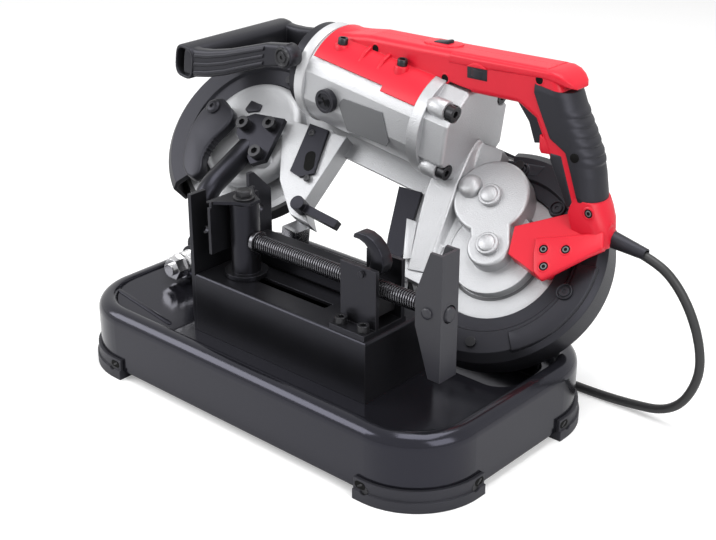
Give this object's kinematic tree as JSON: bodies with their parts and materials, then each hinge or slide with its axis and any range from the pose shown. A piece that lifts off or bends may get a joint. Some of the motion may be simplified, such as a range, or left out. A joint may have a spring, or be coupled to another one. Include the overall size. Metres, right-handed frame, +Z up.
{
  "type": "portable band saw on a bench stand",
  "caption": "Portable band saw hinged on a bench stand with tray base, screw vise with quick-release nut, guarded wheels, motor, red trigger handle and front grip.",
  "frame": {"origin": "on the bench under the middle of the base tray", "axes": "+X along the base towards the drive wheel, +Y away from the operator, +Z up"},
  "size_m": [0.5876, 0.3715, 0.2957],
  "materials": {
    "black_paint": "gloss",
    "rubber": "matte",
    "dark_steel": "oiled black",
    "bright_steel": "zinc bright",
    "silver_casting": "satin silver paint",
    "grey_collar": "satin",
    "wheel_casting": "cast",
    "tyre": "matte",
    "winding": "copper and steel",
    "red_plastic": "fine texture",
    "black_plastic": "fine texture"
  },
  "bodies": {
    "stand": {"base_tray": "black_paint", "corner_feet": "rubber", "foot_screws": "dark_steel", "vise_table": "black_paint", "fixed_jaw": "black_paint", "work_rail": "black_paint", "nut_carriage": "black_paint", "carriage_bolts": "dark_steel", "pivot_bracket": "black_paint", "pivot_bolt": "bright_steel", "pivot_nut": "bright_steel", "pivot_washers": "bright_steel"},
    "jaw": {"jaw_post": "black_paint", "jaw_bolt": "dark_steel"},
    "jaw_face": {"jaw_face": "black_paint"},
    "screw": {"lead_screw": "dark_steel", "crank_handle": "black_paint"},
    "half_nut": {"half_nut": "dark_steel"},
    "release_lever": {"release_lever": "black_paint"},
    "saw": {"swing_arm": "black_paint", "arm_screws": "dark_steel", "saw_frame": "silver_casting", "gear_cover": "silver_casting", "blade": "bright_steel", "drive_guard": "black_paint", "idler_guard": "black_paint", "housing_screws": "dark_steel", "blade_cover": "black_paint", "left_guide": "bright_steel", "right_guide": "bright_steel", "throat_plate": "black_paint", "work_stop": "black_paint", "motor_housing": "silver_casting", "end_collar": "grey_collar", "gear_head": "silver_casting", "gear_head_bolts": "dark_steel", "brush_cap": "black_plastic", "name_plate": "grey_collar", "handle_front": "red_plastic", "handle_back": "red_plastic", "grip_skin": "rubber", "handle_foot": "red_plastic", "front_handle": "black_plastic", "strain_relief": "rubber", "cord": "rubber", "cord_coil": "rubber", "plug": "black_plastic"},
    "idler_slide": {"idler_slide": "dark_steel"},
    "tension_lever": {"tension_lever": "black_plastic"},
    "drive": {"drive_axle": "bright_steel", "drive_wheel": "wheel_casting", "drive_tyre": "tyre"},
    "idler": {"idler_wheel": "wheel_casting", "idler_tyre": "tyre"},
    "counter": {"counter_gear": "bright_steel"},
    "armature": {"armature": "winding"},
    "clamp_lever": {"clamp_lever": "black_paint"},
    "trigger": {"trigger": "black_plastic"},
    "lock_rocker": {"lock_rocker": "black_plastic"},
    "speed_dial": {"speed_dial": "black_plastic"}
  },
  "joints": [
    {"name": "saw_swing", "type": "hinge", "parent": "stand", "child": "saw", "pos_m": [-0.166, 0, 0.074], "axis": [0, -1, 0], "range_deg": [0, 25]},
    {"name": "screw_turn", "type": "hinge", "parent": "jaw", "child": "screw", "pos_m": [0, -0.042, 0.138], "axis": [1, 0, 0], "range_deg": [0, 4320]},
    {"name": "jaw_travel", "type": "slide", "parent": "stand", "child": "jaw", "axis": [1, 0, 0], "range_m": [0, 0.0601]},
    {"name": "jaw_swivel", "type": "hinge", "parent": "jaw", "child": "jaw_face", "pos_m": [-0.059, -0.042, 0.172], "axis": [0, 0, 1], "range_deg": [-6, 6]},
    {"name": "nut_release", "type": "hinge", "parent": "stand", "child": "release_lever", "pos_m": [0.091, -0.042, 0.154], "axis": [0, 1, 0], "range_deg": [0, 35]},
    {"name": "nut_drop", "type": "slide", "parent": "stand", "child": "half_nut", "axis": [0, 0, -1], "range_m": [0, 0.005]},
    {"name": "drive_spin", "type": "hinge", "parent": "saw", "child": "drive", "pos_m": [0.11, 0.097, 0.1255], "axis": [0.0984, -0.7071, 0.7002], "continuous": true},
    {"name": "idler_spin", "type": "hinge", "parent": "idler_slide", "child": "idler", "pos_m": [-0.18708, 0.097, 0.16725], "axis": [0.0984, -0.7071, 0.7002], "continuous": true},
    {"name": "counter_spin", "type": "hinge", "parent": "saw", "child": "counter", "pos_m": [0.09017, 0.12528, 0.15685], "axis": [0.0984, -0.7071, 0.7002], "continuous": true},
    {"name": "armature_spin", "type": "hinge", "parent": "saw", "child": "armature", "pos_m": [-0.02699, 0.127, 0.22857], "axis": [0.9903, 0, -0.1392], "continuous": true},
    {"name": "tension_turn", "type": "hinge", "parent": "saw", "child": "tension_lever", "pos_m": [-0.22472, 0.08286, 0.18682], "axis": [0.0984, -0.7071, 0.7002], "range_deg": [-80, 0]},
    {"name": "idler_travel", "type": "slide", "parent": "saw", "child": "idler_slide", "axis": [0.9903, 0, -0.1392], "range_m": [0, 0.0061]},
    {"name": "guide_clamp", "type": "hinge", "parent": "saw", "child": "clamp_lever", "pos_m": [-0.08071, 0.05033, 0.13374], "axis": [0.0984, -0.7071, 0.7002], "range_deg": [0, 35]},
    {"name": "trigger_pull", "type": "hinge", "parent": "saw", "child": "trigger", "pos_m": [0.12156, 0.127, 0.26525], "axis": [0, -1, 0], "range_deg": [0, 8], "stiffness_Nm_per_rad": 0.6, "springref_deg": -5.73},
    {"name": "lock_press", "type": "slide", "parent": "saw", "child": "lock_rocker", "axis": [-0.1392, 0, -0.9903], "range_m": [0, 0.0025], "stiffness_N_per_m": 400, "springref_m": -0.002},
    {"name": "dial_turn", "type": "hinge", "parent": "saw", "child": "speed_dial", "pos_m": [0.07352, 0.12, 0.27907], "axis": [0.1392, 0, 0.9903], "range_deg": [-140, 140]}
  ],
  "couplings": [
    {"joint": "jaw_travel", "follows": "screw_turn", "m_per_rad": 0.00079577},
    {"joint": "nut_drop", "follows": "nut_release", "m_per_rad": 0.008021},
    {"joint": "idler_travel", "follows": "tension_turn", "m_per_rad": -0.004297},
    {"joint": "idler_spin", "follows": "drive_spin", "ratio": 1},
    {"joint": "counter_spin", "follows": "drive_spin", "ratio": -2.4812},
    {"joint": "armature_spin", "follows": "drive_spin", "ratio": 40}
  ]
}
